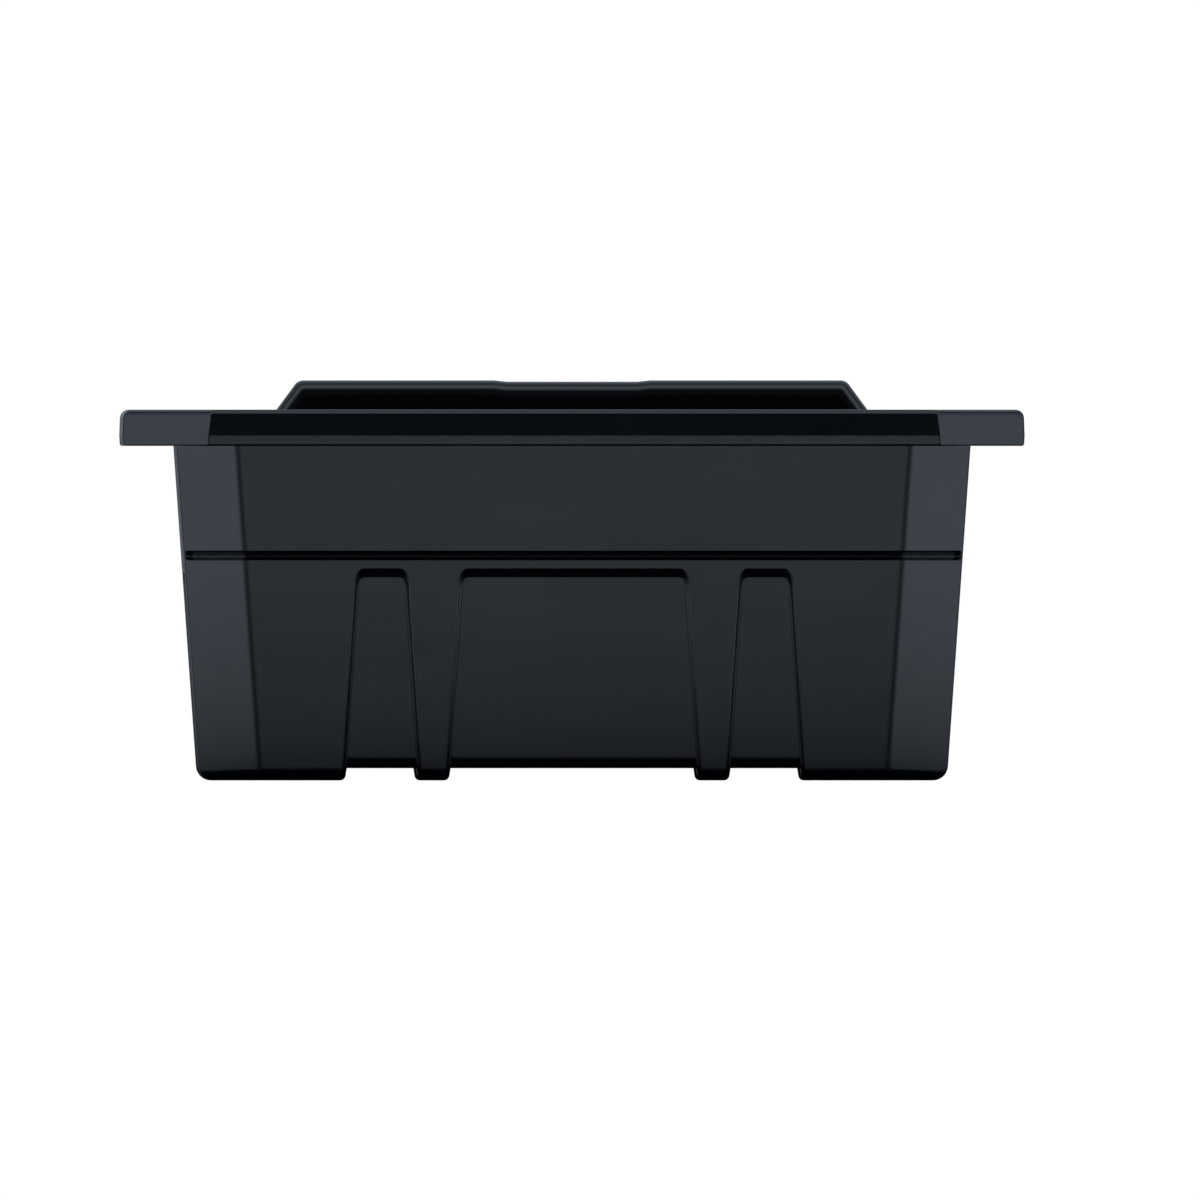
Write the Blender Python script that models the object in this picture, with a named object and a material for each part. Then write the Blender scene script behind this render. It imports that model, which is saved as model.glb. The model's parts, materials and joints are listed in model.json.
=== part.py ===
"""Mortar mixing tub with a fold-down carry handle.

A moulded black polypropylene tub with chamfered corners, a rolled rim with a skirt, recessed lower
panels that leave feet under the floor, and a cranked handle across the middle. The handle turns on
two steel pins. Each pin lies in a split bearing: a saddle moulded on the end wall and a screwed cap.

Metres, +Z up, origin at the middle of the footprint on the ground. +X is the tub's length and the
front is at -Y.
"""

import math

import bmesh
import bpy
from mathutils import Matrix, Vector

# ---------------------------------------------------------------- driving dimensions
RIM_LENGTH = 0.598            # over the skirt, along X
RIM_WIDTH = 0.400             # over the skirt, along Y
RIM_TOP = 0.2458              # height of the rim's top face
WALL = 0.0032                 # moulded wall thickness
OVERHANG = 0.0512             # from the body's line at the ground to the skirt's outer face
DRAFT = math.tan(math.radians(4.0))

SKIRT_BOTTOM = 0.2217
BAND_TOP = 0.2287             # the skirt's lower band starts here
SKIRT_FLARE = math.tan(math.radians(2.0))
BAND_TUCK = math.tan(math.radians(3.0))

BODY_CHAMFER = 0.0400         # leg of the 45 degree corner of the body
RIM_CHAMFER = 0.0585          # the same leg at the rim's top
SKIRT_CHAMFER = 0.0560        # and at the skirt's lower edge
CHAMFER_SHRINK = 2.0 - math.sqrt(2.0)   # loss of that leg for each unit of inward offset
BODY_TANGENT = 0.0042         # half length of the round between a corner and the front of the body
RIM_TANGENT = 0.0012          # the same at the rim
OUTER_TANGENT = 0.0013        # and between a corner and an end, all the way up

FOOT_ROUND = 0.0100           # wall to floor radius, outside
PANEL_ROUND = 0.0090          # the same radius inside a recessed panel
RIM_OUTER_ROUND = 0.00575
RIM_INNER_ROUND = 0.0060
BAND_ROUND = 0.0070           # at the top of the skirt's lower band
SKIRT_EDGE_ROUND = 0.0016     # at its lower edge

RECESS = 0.0031               # depth of the lower panels
LIFT = 0.0081                 # clearance under the floor between the feet
PANEL_LEVEL = 0.1296          # height at which the panel half widths below are given
PANEL_FLARE = 0.068           # widening of a panel for each unit of height, going down
PANEL_TOP_LOW = 0.1342        # inner and outer edge of a panel's slanted top
PANEL_TOP_HIGH = 0.1410
EDGE_WIDTH = 0.0035           # width of a panel's side wall, seen from the front
FOOT_LEAN = 0.0004            # lean of a foot's upright side above its round corner
CORNER_SHARE = 1.3            # panel corner radius, in widths of its edges
CENTRE_EDGE = 0.0754          # half width of the middle panel
SMALL_INNER_EDGE = 0.1102     # inner and outer edge of a small panel
SMALL_OUTER_EDGE = 0.1442
SIDE_SHIFT = 0.65             # shift of a panel's side and top for each unit of wall thickness
TOP_SHIFT = 0.46

GROOVE_LOW = 0.1458           # the line round the front, the back and the corners
GROOVE_HIGH = 0.1524
GROOVE_DEPTH = 0.0030
GROOVE_BOTTOM = 0.4           # its deepest line, as a share of its height

AXLE_HEIGHT = 0.2120          # the handle's axis, along X
AXLE_RADIUS = 0.0040
AXLE_INNER_END = 0.2215
AXLE_OUTER_END = 0.2567
GAP = 0.0003                  # between touching pieces
BUSH_RADIUS = 0.0063
BUSH_ENDS = (0.2472, 0.2570)
BORE_END = 0.2575             # blind end of the bearing, short of the wall

BOSS_FACE = 0.2465            # inner face of the moulded saddle
BOSS_HALF_WIDTH = 0.0220
BOSS_ROOT = 0.1600            # the saddle's corbel runs out into the wall here
BOSS_CHIN = 0.1880
STOP_FACE = 0.2290            # ledges on which the folded handle rests
STOP_INNER = 0.0095
STOP_OUTER = 0.0170
CAP_ENDS = (0.2468, 0.2588)
CAP_EAR_TOP = 0.2170
CAP_ARCH = 0.0125
SCREW_X = 0.2528
SCREW_Y = 0.0170
SCREW_RADIUS = 0.0020
SCREW_HEAD_RADIUS = 0.0038
SCREW_HEAD_HEIGHT = 0.0026
SCREW_TIP = 0.2000

HANDLE_TOP = 0.2652
HANDLE_HALF_THICKNESS = 0.0140
HANDLE_ROUND = 0.0097          # height of its half oval edges
TIGHTEST_ROUND = 0.0004        # the least corner radius left when the bar's outline is drawn in
HANDLE_UNDERSIDE = 0.2320
HANDLE_SLOPE = math.tan(math.radians(53.6))
HANDLE_RIM_HALF = 0.1959      # half length of the handle where it passes the rim's top
HANDLE_INNER_HALF = 0.1720    # half length of the hand opening
HANDLE_END = 0.2450
CRANK_TOP = 0.2360
CRANK_BOTTOM = 0.2000
CRANK_INNER = 0.1970
GRIP_DIP = 0.0009             # shallow hand recess in the middle of the bar
GRIP_HALF = 0.0434
GRIP_RAMP_END = 0.0516
LUG_RADIUS = 0.0120
LUG_INNER_END = 0.2140

# ---------------------------------------------------------------- mesh resolution
FOOT_STEPS = 2
RIM_STEPS = 2
BAND_STEPS = 1
CORNER_STEPS = 2
HANDLE_STEPS = 3
ROUND_SIDES = 24
EDGE_INSETS = (-0.5, 0.5, 0.62, 1.3)   # columns beside each panel edge, in edge widths into it
PANEL_TOP_ROWS = (-0.8, 0.0, 0.5, 1.0)
GROOVE_ROWS = (0.0, GROOVE_BOTTOM, 1.0)
FAR = 1.0

HALF_LENGTH = RIM_LENGTH / 2 - OVERHANG
HALF_WIDTH = RIM_WIDTH / 2 - OVERHANG
FRONT_EDGES = ((CENTRE_EDGE, 1), (SMALL_INNER_EDGE, -1), (SMALL_OUTER_EDGE, 1))
END_EDGES = ((CENTRE_EDGE, 1),)


# ---------------------------------------------------------------- small helpers
def mix(first, second, share):
    return first + (second - first) * share


def fillet(before, corner, after, radius, steps):
    """Round one corner of an outline. Only the first two coordinates set the arc's shape."""
    to_before = Vector(before[:2]) - Vector(corner[:2])
    to_after = Vector(after[:2]) - Vector(corner[:2])
    half_angle = to_before.angle(to_after) / 2
    tangent = radius / math.tan(half_angle)
    start = Vector(corner).lerp(Vector(before), tangent / to_before.length)
    end = Vector(corner).lerp(Vector(after), tangent / to_after.length)
    bisector = (to_before.normalized() + to_after.normalized()).normalized()
    centre = Vector(corner[:2]) + bisector * radius / math.sin(half_angle)
    sweep = math.pi - 2 * half_angle
    arc = []
    for step in range(steps + 1):
        share = step / steps
        first = math.sin((1 - share) * sweep) / math.sin(sweep)
        second = math.sin(share * sweep) / math.sin(sweep)
        flat = centre + (start.xy - centre) * first + (end.xy - centre) * second
        rest = start.lerp(end, share)
        arc.append(Vector((flat.x, flat.y, *rest[2:])))
    return arc


def new_object(name, mesh_builder, material):
    """Turn a bmesh into a named object with its material."""
    mesh = bpy.data.meshes.new(name)
    mesh_builder.to_mesh(mesh)
    mesh_builder.free()
    mesh.materials.append(material)
    item = bpy.data.objects.new(name, mesh)
    bpy.context.scene.collection.objects.link(item)
    return item


def shade(item, angle=35.0):
    item.data.shade_smooth()
    item.data.set_sharp_from_angle(angle=math.radians(angle))
    return item


def as_cutter(item):
    item.hide_render = True
    item.display_type = "WIRE"
    return item


def add_boolean(item, other, operation):
    step = item.modifiers.new(f"{operation.lower()}_{other.name}", "BOOLEAN")
    step.operation = operation
    step.object = other
    step.solver = "EXACT"


def add_prism(builder, outline, place, low, high):
    """Extrude a closed outline between two levels; place turns (u, v, level) into a point."""
    loops = []
    for level in (low, high):
        loops.append([builder.verts.new(place(u, v, level)) for u, v in outline])
    count = len(outline)
    for index in range(count):
        after = (index + 1) % count
        builder.faces.new((loops[0][index], loops[0][after], loops[1][after], loops[1][index]))
    builder.faces.new(list(reversed(loops[0])))
    builder.faces.new(loops[1])


def add_rod(builder, start, end, radius, sides=ROUND_SIDES):
    """Add a closed cylinder between two points."""
    direction = Vector(end) - Vector(start)
    turn = direction.to_track_quat("Z", "Y").to_matrix().to_4x4()
    place = Matrix.Translation((Vector(start) + Vector(end)) / 2) @ turn
    bmesh.ops.create_cone(
        builder, cap_ends=True, segments=sides, radius1=radius, radius2=radius,
        depth=direction.length, matrix=place,
    )


def tidy_normals(builder):
    bmesh.ops.recalc_face_normals(builder, faces=builder.faces)


# ---------------------------------------------------------------- materials
def plain_material(name, colour, roughness, metallic):
    material = bpy.data.materials.new(name)
    material.use_nodes = True
    shader = material.node_tree.nodes["Principled BSDF"]
    shader.inputs["Base Color"].default_value = (*colour, 1.0)
    shader.inputs["Roughness"].default_value = roughness
    shader.inputs["Metallic"].default_value = metallic
    return material


def tub_plastic():
    return plain_material("tub_polypropylene", (0.014, 0.017, 0.020), 0.32, 0.0)


def handle_plastic():
    return plain_material("handle_polypropylene", (0.012, 0.014, 0.017), 0.30, 0.0)


def cap_plastic():
    return plain_material("cap_polyamide", (0.020, 0.022, 0.025), 0.42, 0.0)


def bush_plastic():
    return plain_material("bush_acetal", (0.74, 0.73, 0.69), 0.38, 0.0)


def pin_steel():
    return plain_material("pin_steel", (0.56, 0.57, 0.58), 0.26, 1.0)


def screw_steel():
    return plain_material("screw_zinc_steel", (0.66, 0.67, 0.66), 0.34, 1.0)


# ---------------------------------------------------------------- tub shell
def panel_depth(inside_edge, height, offset):
    """How far a panel is sunk, 0 to 1, from the distances to its side and to its top."""
    side = inside_edge / EDGE_WIDTH
    top_width = PANEL_TOP_HIGH - PANEL_TOP_LOW
    top_middle = (PANEL_TOP_HIGH + PANEL_TOP_LOW) / 2 + TOP_SHIFT * offset
    top = (top_middle - height) / top_width
    reach = min(side, top)
    if side < CORNER_SHARE and top < CORNER_SHARE:
        reach = CORNER_SHARE - math.hypot(CORNER_SHARE - side, CORNER_SHARE - top)
    return min(max(reach + 0.5, 0.0), 1.0)


def foot_lift(inside_edge):
    """How far the underside is raised, 0 to 1, across a foot's rounded corner and upright side."""
    across = inside_edge + EDGE_WIDTH / 2
    if across <= 0.0:
        return 0.0
    if across <= EDGE_WIDTH:
        return (EDGE_WIDTH - math.sqrt(EDGE_WIDTH ** 2 - across ** 2)) / LIFT
    return min(mix(EDGE_WIDTH / LIFT, 1.0, (across - EDGE_WIDTH) / FOOT_LEAN), 1.0)


def groove_depth(height):
    share = (height - GROOVE_LOW) / (GROOVE_HIGH - GROOVE_LOW)
    if share <= 0.0 or share >= 1.0:
        return 0.0
    return GROOVE_DEPTH * min(share / GROOVE_BOTTOM, (1.0 - share) / (1.0 - GROOVE_BOTTOM))


def section_rows(offset, sunk):
    """The wall's section as rows of (growth, height, chamfer leg, corner round), floor to skirt.

    offset is 0 on the outer side of the sheet and WALL on the inner side.
    """
    push = offset + (RECESS if sunk else 0.0)
    floor = offset + (LIFT if sunk else 0.0)

    def wall(height, inward):
        growth = DRAFT * height - inward
        return (growth, height, BODY_CHAMFER - CHAMFER_SHRINK * inward, BODY_TANGENT)

    corner = wall(floor, push)
    inland = (corner[0] - 0.06, floor, corner[2] - CHAMFER_SHRINK * 0.06, BODY_TANGENT)
    radius = (PANEL_ROUND if sunk else FOOT_ROUND) - offset
    rows = fillet(inland, corner, wall(PANEL_LEVEL, push), radius, FOOT_STEPS)

    top_rise = TOP_SHIFT * offset
    panel_rows = [mix(PANEL_TOP_LOW, PANEL_TOP_HIGH, share) + top_rise for share in PANEL_TOP_ROWS]
    groove_rows = [mix(GROOVE_LOW, GROOVE_HIGH, share) for share in GROOVE_ROWS]
    rows += [Vector(wall(height, push)) for height in panel_rows]
    rows += [Vector(wall(height, offset)) for height in groove_rows]

    behind = WALL - offset
    top = RIM_TOP - behind
    skirt_growth = OVERHANG - SKIRT_FLARE * (RIM_TOP - BAND_TOP)
    inner_rim = wall(top, offset)
    outer_rim = (skirt_growth - behind, top, RIM_CHAMFER - CHAMFER_SHRINK * behind, RIM_TANGENT)
    band_chamfer = mix(RIM_CHAMFER, SKIRT_CHAMFER, 0.7) - CHAMFER_SHRINK * behind
    band = (OVERHANG - behind, BAND_TOP, band_chamfer, RIM_TANGENT)
    tuck = BAND_TUCK * (BAND_TOP - SKIRT_BOTTOM)
    edge = (OVERHANG - tuck - behind, SKIRT_BOTTOM, SKIRT_CHAMFER - CHAMFER_SHRINK * behind, RIM_TANGENT)
    rows += fillet(wall(BAND_TOP, offset), inner_rim, outer_rim, RIM_INNER_ROUND - behind, RIM_STEPS)
    rows += fillet(inner_rim, outer_rim, band, RIM_OUTER_ROUND - behind, RIM_STEPS)
    rows += fillet(outer_rim, band, edge, BAND_ROUND, BAND_STEPS)
    if behind:
        rows.append(Vector(edge))
    else:
        under = (edge[0] - WALL, SKIRT_BOTTOM, edge[2] - CHAMFER_SHRINK * WALL, RIM_TANGENT)
        rows += fillet(band, edge, under, SKIRT_EDGE_ROUND, BAND_STEPS)
    return rows


def edge_position(edge, step, height, offset):
    """Distance from the middle plane of a column that follows a panel edge."""
    if edge is None:
        return 0.0
    half_width, side = edge
    drop = PANEL_LEVEL - min(height, SKIRT_BOTTOM)
    return half_width + side * (PANEL_FLARE * drop + SIDE_SHIFT * offset) + step * EDGE_WIDTH


def wall_columns(edges):
    """Columns from the middle plane outwards: the middle, then those beside each panel edge."""
    columns = [(None, 0.0)]
    for edge in edges:
        side = edge[1]
        columns += [(edge, step) for step in sorted(-side * inset for inset in EDGE_INSETS)]
    return columns


def inside_distance(column):
    """Distance into the panel from its side edge, below zero on the plain wall."""
    edge, step = column
    if edge is None:
        return FAR
    return -edge[1] * step * EDGE_WIDTH


def corner_points(growth, chamfer, tangent):
    """The chamfered upright corner in plan, with both its lines rounded, and inward directions."""
    half_x = HALF_LENGTH + growth
    half_y = HALF_WIDTH + growth
    front = Vector((half_x - chamfer, -half_y))
    end = Vector((half_x, -(half_y - chamfer)))
    along = (end - front).normalized()
    slant = Vector((-along.y, along.x))
    points = []
    for corner, before, after, first, second, reach in (
        (front, Vector((-1.0, 0.0)), along, Vector((0.0, 1.0)), slant, tangent),
        (end, -along, Vector((0.0, 1.0)), slant, Vector((-1.0, 0.0)), OUTER_TANGENT),
    ):
        start = corner + before * reach
        finish = corner + after * reach
        for step in range(CORNER_STEPS + 1):
            share = step / CORNER_STEPS
            curve = start.lerp(corner, share).lerp(corner.lerp(finish, share), share)
            points.append((curve, first.lerp(second, share).normalized()))
    return points


def quarter_ring(plain, sunk, offset, on_floor):
    """One row of points over a quarter of the tub, from the front's middle to the end's middle."""
    ring = []

    def add_panel_columns(columns, is_front):
        for edge, step in columns:
            inside = inside_distance((edge, step))
            share = panel_depth(inside, 0.0 if on_floor else plain[1], offset)
            growth = mix(plain[0], sunk[0], share)
            height = mix(plain[1], sunk[1], foot_lift(inside))
            across = edge_position(edge, step, height, offset)
            if is_front:
                groove = groove_depth(height)
                ring.append(Vector((across, -(HALF_WIDTH + growth) + groove, height)))
            else:
                ring.append(Vector((HALF_LENGTH + growth, -across, height)))

    add_panel_columns(wall_columns(FRONT_EDGES), True)
    corner = corner_points(plain[0], plain[2], plain[3])
    for index, (point, inward) in enumerate(corner):
        fade = 1.0 if index <= CORNER_STEPS + 1 else 0.0
        moved = point + inward * groove_depth(plain[1]) * fade
        ring.append(Vector((moved.x, moved.y, plain[1])))
    add_panel_columns(list(reversed(wall_columns(END_EDGES))), False)
    return ring


def floor_points(ring, offset):
    """Floor points inside the first ring, as a dictionary from (column, row) to a point."""
    first_corner = len(wall_columns(FRONT_EDGES))
    last_corner = first_corner + 2 * CORNER_STEPS + 1
    last = len(ring) - 1
    turn = last_corner - first_corner
    end_rows = last - last_corner
    start = ring[first_corner]
    finish = ring[last_corner]
    front_lift = [foot_lift(inside_distance(column)) for column in wall_columns(FRONT_EDGES)]
    end_lift = [foot_lift(inside_distance(column)) for column in wall_columns(END_EDGES)]
    points = {}
    for column in range(first_corner + turn + 1):
        rows = end_rows + turn - max(column - first_corner, 0)
        for row in range(rows + 1):
            x = ring[column].x
            y = ring[last - row].y
            if row > end_rows and column < first_corner:
                share = (y - finish.y) / (start.y - finish.y)
                y = mix(finish.y, ring[column].y, share)
            if column > first_corner and row < end_rows:
                share = (x - start.x) / (finish.x - start.x)
                x = mix(start.x, ring[last - row].x, share)
            lift = front_lift[column] if column < first_corner else 0.0
            if row < len(end_lift):
                lift = max(lift, end_lift[row])
            points[column, row] = Vector((x, y, offset + LIFT * lift))
    return points


def add_sheet(builder, offset, flip):
    """Add one side of the moulded sheet and return its last row of vertices."""
    plain_rows = section_rows(offset, False)
    sunk_rows = section_rows(offset, True)
    rings = []
    for index, (plain, sunk) in enumerate(zip(plain_rows, sunk_rows)):
        points = quarter_ring(plain, sunk, offset, index <= FOOT_STEPS)
        rings.append([builder.verts.new(point) for point in points])

    def add_face(corners):
        unique = list(dict.fromkeys(corners))
        builder.faces.new(list(reversed(unique)) if flip else unique)

    for low, high in zip(rings, rings[1:]):
        for index in range(len(low) - 1):
            add_face((low[index], low[index + 1], high[index + 1], high[index]))

    ring = [vertex.co.copy() for vertex in rings[0]]
    first_corner = len(wall_columns(FRONT_EDGES))
    last = len(ring) - 1
    top_row = last - first_corner
    last_column = first_corner + 2 * CORNER_STEPS + 1
    grid = {}
    for (column, row), point in floor_points(ring, offset).items():
        if column <= first_corner and row == top_row:
            grid[column, row] = rings[0][column]
        elif column >= first_corner and row == last - column:
            grid[column, row] = rings[0][column]
        elif column == last_column:
            grid[column, row] = rings[0][last - row]
        else:
            grid[column, row] = builder.verts.new(point)
    for column, row in grid:
        around = [(column, row), (column + 1, row), (column + 1, row + 1), (column, row + 1)]
        corners = [grid[key] for key in around if key in grid]
        if len(corners) >= 3 and (column + 1, row) in grid and (column, row + 1) in grid:
            add_face(corners)
    return rings[-1]


def saddle_tool():
    """Solid saddles for the bearings, one on each end wall."""
    def middle_of_wall(height):
        return HALF_LENGTH + DRAFT * height - WALL / 2

    top = AXLE_HEIGHT - GAP / 2
    corbel = [
        (BOSS_FACE, top), (middle_of_wall(top), top),
        (middle_of_wall(BOSS_ROOT), BOSS_ROOT), (BOSS_FACE, BOSS_CHIN),
    ]
    builder = bmesh.new()
    for side in (-1, 1):
        def place(x, z, y, side=side):
            return (side * x, y, z)
        add_prism(builder, corbel, place, -BOSS_HALF_WIDTH, BOSS_HALF_WIDTH)
    tidy_normals(builder)
    return as_cutter(new_object("saddle_tool", builder, tub_plastic()))


def stop_ledge_tool():
    """Two ledges on each saddle, in front of and behind the handle's axis."""
    rest = AXLE_HEIGHT - HANDLE_HALF_THICKNESS - GAP
    root = BOSS_FACE + 0.001
    ledge = [(STOP_FACE, rest), (root, rest), (root, BOSS_CHIN), (STOP_FACE, rest - 0.005)]
    builder = bmesh.new()
    for side in (-1, 1):
        def place(x, z, y, side=side):
            return (side * x, y, z)
        add_prism(builder, ledge, place, STOP_INNER, STOP_OUTER)
        add_prism(builder, ledge, place, -STOP_OUTER, -STOP_INNER)
    tidy_normals(builder)
    return as_cutter(new_object("stop_ledge_tool", builder, tub_plastic()))


def bearing_cutter(name):
    """Bores for the two bushes, and holes for the four cap screws."""
    builder = bmesh.new()
    for side in (-1, 1):
        inner = (side * (BOSS_FACE - 0.002), 0.0, AXLE_HEIGHT)
        outer = (side * BORE_END, 0.0, AXLE_HEIGHT)
        add_rod(builder, inner, outer, BUSH_RADIUS + GAP)
        for front in (-1, 1):
            low = (side * SCREW_X, front * SCREW_Y, SCREW_TIP - 0.001)
            high = (side * SCREW_X, front * SCREW_Y, CAP_EAR_TOP + 0.002)
            add_rod(builder, low, high, SCREW_RADIUS + GAP, 12)
    tidy_normals(builder)
    return as_cutter(new_object(name, builder, tub_plastic()))


def make_tub_shell():
    builder = bmesh.new()
    outer_edge = add_sheet(builder, 0.0, False)
    inner_edge = add_sheet(builder, WALL, True)
    for index in range(len(outer_edge) - 1):
        builder.faces.new(
            (outer_edge[index], outer_edge[index + 1], inner_edge[index + 1], inner_edge[index])
        )
    tub = shade(new_object("tub_shell", builder, tub_plastic()))
    halves = tub.modifiers.new("mirror_quarters", "MIRROR")
    halves.use_axis[0] = True
    halves.use_axis[1] = True
    halves.merge_threshold = 0.00001
    add_boolean(tub, saddle_tool(), "UNION")
    add_boolean(tub, stop_ledge_tool(), "UNION")
    add_boolean(tub, bearing_cutter("saddle_bores"), "DIFFERENCE")
    return tub


# ---------------------------------------------------------------- carry handle
def handle_corners():
    """Corners of the handle's outline as (x, z, radius), from the middle of the top, clockwise."""
    def slope_x(height):
        return HANDLE_RIM_HALF - (height - RIM_TOP) / HANDLE_SLOPE

    right = [
        (GRIP_HALF, HANDLE_TOP - GRIP_DIP, 0.0),
        (GRIP_RAMP_END, HANDLE_TOP, 0.0),
        (slope_x(HANDLE_TOP), HANDLE_TOP, 0.0070),
        (slope_x(CRANK_TOP), CRANK_TOP, 0.0080),
        (HANDLE_END, CRANK_TOP, 0.0072),
        (HANDLE_END, CRANK_BOTTOM, 0.0072),
        (CRANK_INNER, CRANK_BOTTOM, 0.0090),
        (HANDLE_INNER_HALF, HANDLE_UNDERSIDE, 0.0120),
    ]
    return right + [(-x, z, radius) for x, z, radius in reversed(right)]


def handle_outline(inset):
    """The handle's outline moved inwards, with tighter outer and wider inner rounds."""
    corners = handle_corners()
    count = len(corners)
    moved = []
    outward = []
    for index, corner in enumerate(corners):
        here = Vector(corner[:2])
        before = (here - Vector(corners[index - 1][:2])).normalized()
        after = (Vector(corners[(index + 1) % count][:2]) - here).normalized()
        first = Vector((before.y, -before.x))
        mitre = (first + Vector((after.y, -after.x))).normalized()
        moved.append(here + mitre * inset / mitre.dot(first))
        outward.append(before.cross(after) < 0)
    outline = []
    for index, (x, z, radius) in enumerate(corners):
        if not radius:
            outline.append(moved[index])
            continue
        turned = max(radius - inset, TIGHTEST_ROUND) if outward[index] else radius + inset
        outline += fillet(moved[index - 1], moved[index], moved[(index + 1) % count], turned, HANDLE_STEPS)
    return outline


def make_carry_handle():
    builder = bmesh.new()
    sections = []
    for step in range(2 * HANDLE_STEPS + 1):
        turn = math.pi / 2 * step / HANDLE_STEPS
        depth = -HANDLE_HALF_THICKNESS * math.cos(turn)
        outline = handle_outline(HANDLE_ROUND * (1 - math.sin(turn)))
        sections.append([builder.verts.new((point.x, depth, point.y)) for point in outline])
    count = len(sections[0])
    for first, second in zip(sections, sections[1:]):
        for index in range(count):
            after = (index + 1) % count
            builder.faces.new((first[index], first[after], second[after], second[index]))
    builder.faces.new(sections[0])
    builder.faces.new(sections[-1])
    bmesh.ops.translate(builder, verts=builder.verts, vec=(0.0, 0.0, -AXLE_HEIGHT))
    tidy_normals(builder)
    handle = shade(new_object("carry_handle", builder, handle_plastic()))

    lugs = bmesh.new()
    bores = bmesh.new()
    for side in (-1, 1):
        add_rod(lugs, (side * LUG_INNER_END, 0, 0), (side * HANDLE_END, 0, 0), LUG_RADIUS, 32)
        add_rod(
            bores, (side * (AXLE_INNER_END - GAP), 0, 0), (side * (HANDLE_END + 0.002), 0, 0),
            AXLE_RADIUS + GAP,
        )
    for tool_name, tool_mesh, operation in (
        ("handle_lugs", lugs, "UNION"), ("handle_bores", bores, "DIFFERENCE"),
    ):
        tidy_normals(tool_mesh)
        tool = as_cutter(new_object(tool_name, tool_mesh, handle_plastic()))
        tool.location.z = AXLE_HEIGHT
        add_boolean(handle, tool, operation)
    handle.location.z = AXLE_HEIGHT
    return handle


# ---------------------------------------------------------------- bearing pieces
def make_axle_pin(name, side):
    """Steel pin, pressed into the handle's lug, with its origin on the handle's axis."""
    builder = bmesh.new()
    add_rod(builder, (side * AXLE_INNER_END, 0, 0), (side * AXLE_OUTER_END, 0, 0), AXLE_RADIUS)
    ends = [edge for edge in builder.edges if len({round(v.co.x, 6) for v in edge.verts}) == 1]
    bmesh.ops.bevel(builder, geom=ends, offset=0.0006, segments=1, affect="EDGES")
    tidy_normals(builder)
    pin = shade(new_object(name, builder, pin_steel()))
    pin.location.z = AXLE_HEIGHT
    return pin


def make_pivot_bush(name, side):
    """Plain acetal tube round the pin."""
    builder = bmesh.new()
    loops = []
    for radius, x in (
        (BUSH_RADIUS, BUSH_ENDS[0]), (BUSH_RADIUS, BUSH_ENDS[1]),
        (AXLE_RADIUS + GAP, BUSH_ENDS[1]), (AXLE_RADIUS + GAP, BUSH_ENDS[0]),
    ):
        loop = []
        for index in range(ROUND_SIDES):
            angle = 2 * math.pi * index / ROUND_SIDES
            point = (side * x, radius * math.cos(angle), radius * math.sin(angle))
            loop.append(builder.verts.new(point))
        loops.append(loop)
    for number, loop in enumerate(loops):
        following = loops[(number + 1) % len(loops)]
        for index in range(ROUND_SIDES):
            after = (index + 1) % ROUND_SIDES
            builder.faces.new((loop[index], loop[after], following[after], following[index]))
    tidy_normals(builder)
    bush = shade(new_object(name, builder, bush_plastic()))
    bush.location.z = AXLE_HEIGHT
    return bush


def make_bearing_cap(name, side, cutter):
    """Upper half of the bearing: an arch with two ears for screws."""
    base = AXLE_HEIGHT + GAP / 2
    start = math.asin((CAP_EAR_TOP - AXLE_HEIGHT) / CAP_ARCH)
    outline = [(-BOSS_HALF_WIDTH, base), (BOSS_HALF_WIDTH, base), (BOSS_HALF_WIDTH, CAP_EAR_TOP)]
    steps = 10
    for step in range(steps + 1):
        angle = mix(start, math.pi - start, step / steps)
        outline.append((CAP_ARCH * math.cos(angle), AXLE_HEIGHT + CAP_ARCH * math.sin(angle)))
    outline.append((-BOSS_HALF_WIDTH, CAP_EAR_TOP))
    builder = bmesh.new()

    def place(y, z, x):
        return (side * x, y, z)

    add_prism(builder, outline, place, *CAP_ENDS)
    tidy_normals(builder)
    cap = shade(new_object(name, builder, cap_plastic()))
    add_boolean(cap, cutter, "DIFFERENCE")
    return cap


def make_cap_screw(name, side, front):
    """Pan head screw, head down on the cap's ear."""
    seat = CAP_EAR_TOP + GAP
    profile = [
        (0.0, SCREW_TIP), (SCREW_RADIUS * 0.6, SCREW_TIP), (SCREW_RADIUS, SCREW_TIP + 0.0015),
        (SCREW_RADIUS, seat), (SCREW_HEAD_RADIUS, seat),
        (SCREW_HEAD_RADIUS, seat + SCREW_HEAD_HEIGHT * 0.45),
        (SCREW_HEAD_RADIUS * 0.72, seat + SCREW_HEAD_HEIGHT * 0.9), (0.0, seat + SCREW_HEAD_HEIGHT),
    ]
    builder = bmesh.new()
    points = [builder.verts.new((radius, 0.0, height - seat)) for radius, height in profile]
    edges = [builder.edges.new(pair) for pair in zip(points, points[1:])]
    bmesh.ops.spin(
        builder, geom=points + edges, cent=(0, 0, 0), axis=(0, 0, 1),
        angle=2 * math.pi, steps=16, use_merge=True,
    )
    bmesh.ops.remove_doubles(builder, verts=builder.verts, dist=0.00001)
    tidy_normals(builder)
    screw = shade(new_object(name, builder, screw_steel()))
    screw.location = (side * SCREW_X, front * SCREW_Y, seat)
    return screw


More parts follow.
